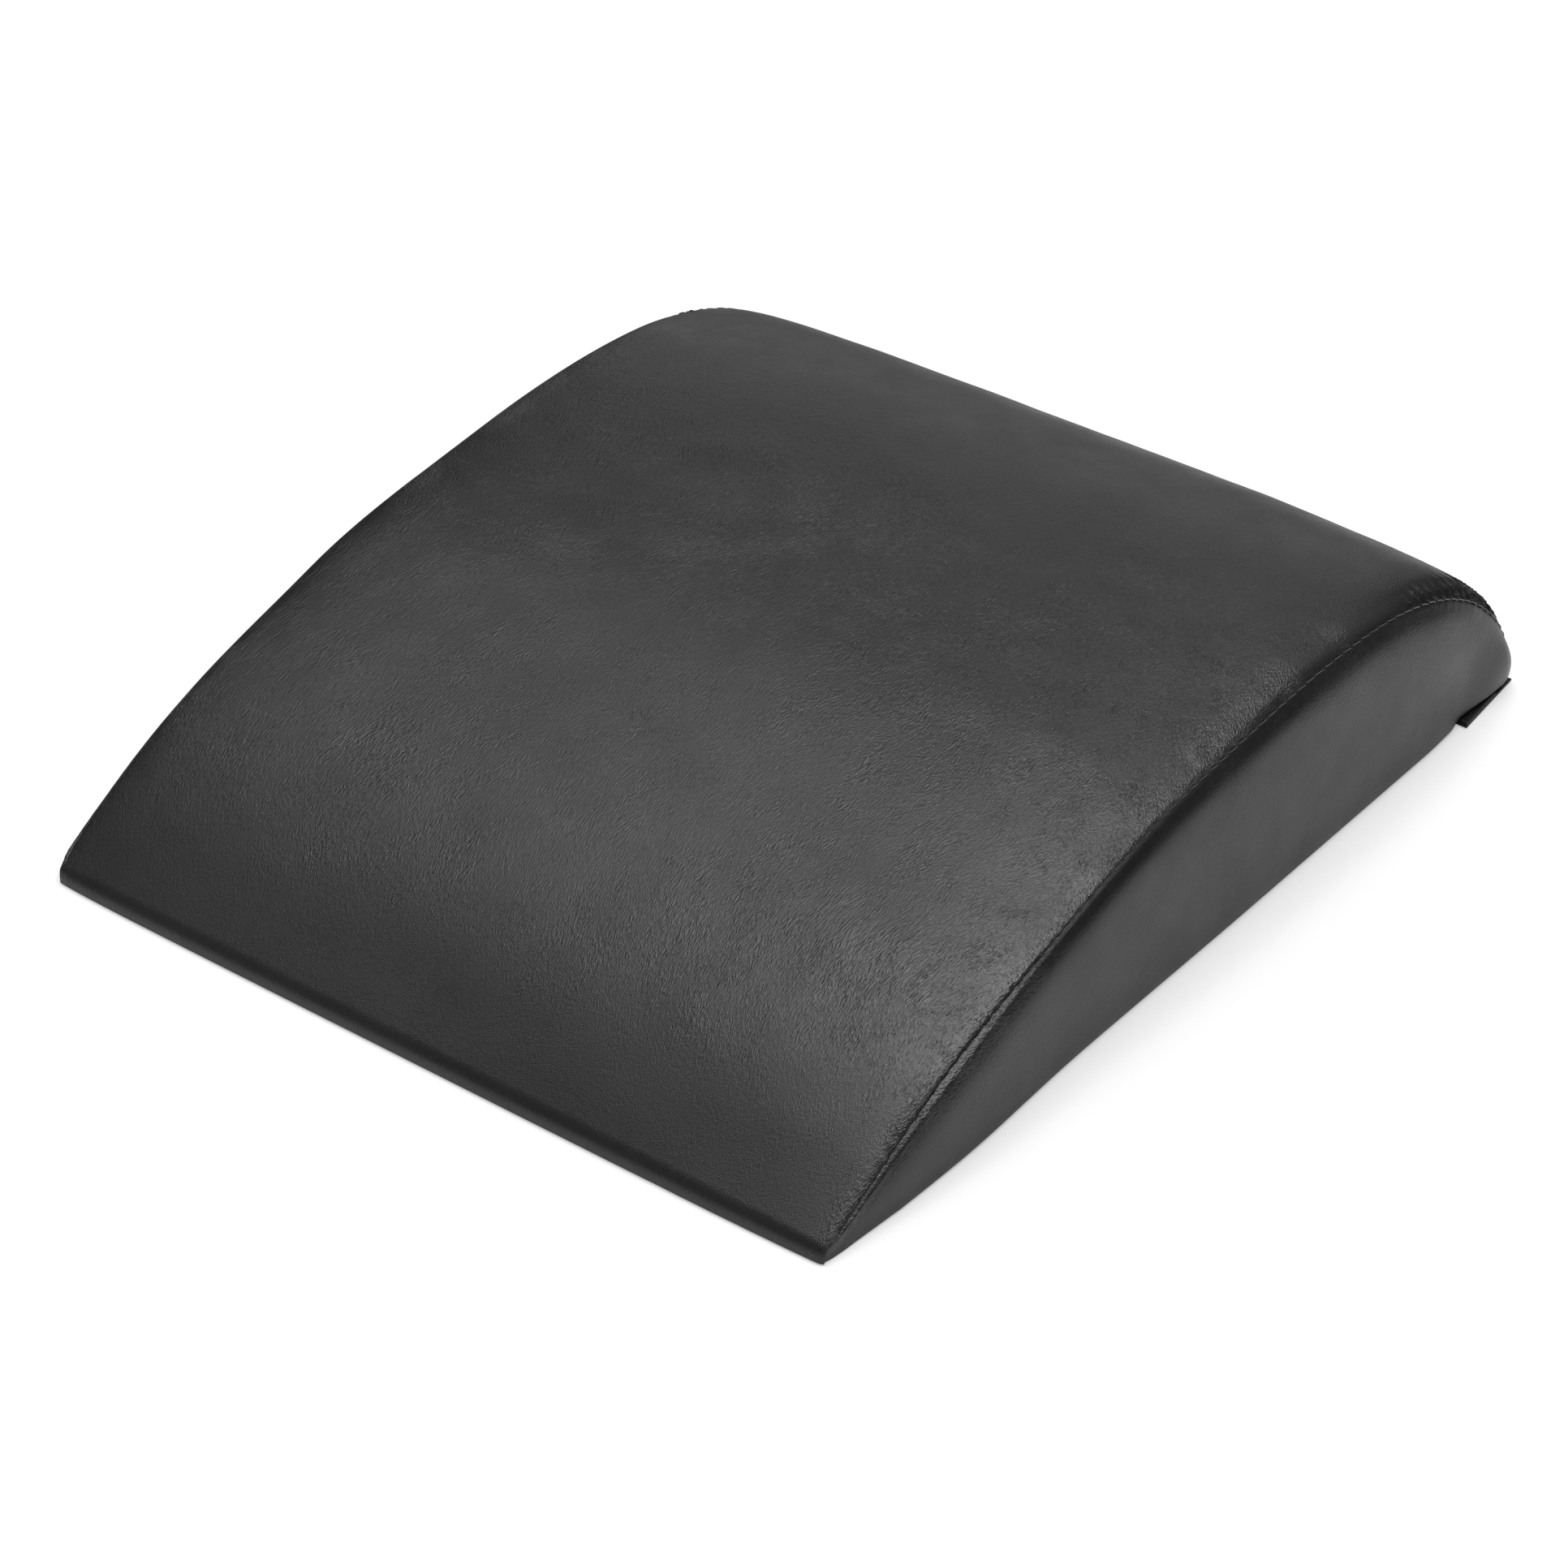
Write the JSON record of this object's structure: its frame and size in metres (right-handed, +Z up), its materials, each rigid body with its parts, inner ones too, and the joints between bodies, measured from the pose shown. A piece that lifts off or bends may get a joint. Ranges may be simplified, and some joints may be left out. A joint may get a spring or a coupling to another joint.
{
  "type": "ab mat",
  "caption": "Contoured exercise mat that supports the lower back in sit-ups: a foam wedge with an arched, crowned top in a sewn vinyl cover, closed underneath by a flap",
  "frame": {"origin": "middle of the footprint, on the surface that the mat stands on", "axes": "X across the mat, +Y from the thin front edge to the thick rear, +Z up"},
  "size_m": [0.3134, 0.3831, 0.0775],
  "materials": {
    "foam": "open-cell foam, matt",
    "top_vinyl": "fine grained vinyl, satin",
    "left_side_vinyl": "fine grained vinyl, satin",
    "right_side_vinyl": "fine grained vinyl, satin",
    "base_vinyl": "grained vinyl, matt",
    "flap_vinyl": "plain vinyl, matt",
    "hook_tape": "woven hook tape",
    "loop_tape": "brushed loop tape"
  },
  "bodies": {
    "mat": {"foam_core": "foam", "top_panel": "top_vinyl", "left_side_panel": "left_side_vinyl", "right_side_panel": "right_side_vinyl", "base_panel": "base_vinyl", "base_loop_strip": "loop_tape"},
    "flap": {"closing_flap": "flap_vinyl", "flap_hook_strip": "hook_tape"}
  },
  "joints": [
    {"name": "flap_hinge", "type": "hinge", "parent": "mat", "child": "flap", "pos_m": [0, 0.18865, 0.0006], "axis": [1, 0, 0], "range_deg": [0, 180]}
  ]
}
